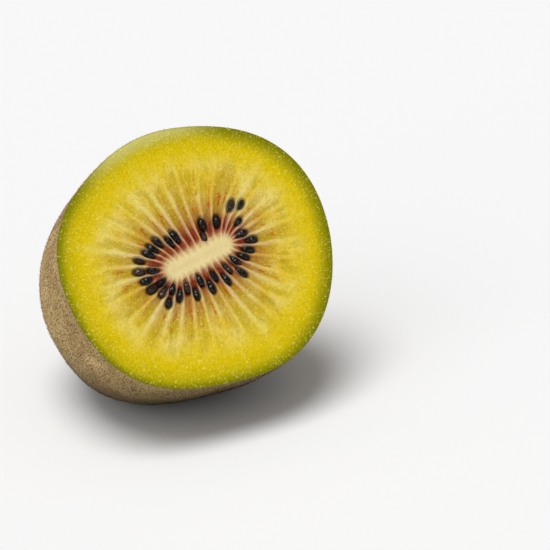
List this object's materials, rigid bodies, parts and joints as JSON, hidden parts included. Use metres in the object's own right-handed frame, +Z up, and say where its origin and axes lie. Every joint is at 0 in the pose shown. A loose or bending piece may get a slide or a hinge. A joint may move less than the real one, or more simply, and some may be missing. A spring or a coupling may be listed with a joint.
{
  "type": "halved kiwi fruit",
  "caption": "Half of a gold kiwi fruit cut straight across: green to yellow flesh with pale rays, a cream core with small dark seeds round it, and brown velvety skin on the rounded end.",
  "frame": {"origin": "middle of the small flat spot of skin that the half rests on", "axes": "+Z up; the cut face looks forward to -Y and up, 40 degrees above level; +X to the right when looking at the face"},
  "size_m": [0.0534, 0.0467, 0.0474],
  "materials": {
    "flesh": "wet translucent yellow flesh, green under the skin",
    "skin": "velvety olive brown skin with a fine grain",
    "seed": "smooth wet black-brown seed coat"
  },
  "bodies": {
    "root": {"fruit_half": "flesh", "seed_01": "seed", "seed_02": "seed", "seed_03": "seed", "seed_04": "seed", "seed_05": "seed", "seed_06": "seed", "seed_07": "seed", "seed_08": "seed", "seed_09": "seed", "seed_10": "seed", "seed_11": "seed", "seed_12": "seed", "seed_13": "seed", "seed_14": "seed", "seed_15": "seed", "seed_16": "seed", "seed_17": "seed", "seed_18": "seed", "seed_19": "seed", "seed_20": "seed", "seed_21": "seed", "seed_22": "seed", "seed_23": "seed", "seed_24": "seed", "seed_25": "seed", "seed_26": "seed", "seed_27": "seed", "seed_28": "seed", "seed_29": "seed", "seed_30": "seed", "seed_31": "seed", "seed_32": "seed", "seed_33": "seed", "seed_34": "seed"}
  },
  "joints": []
}
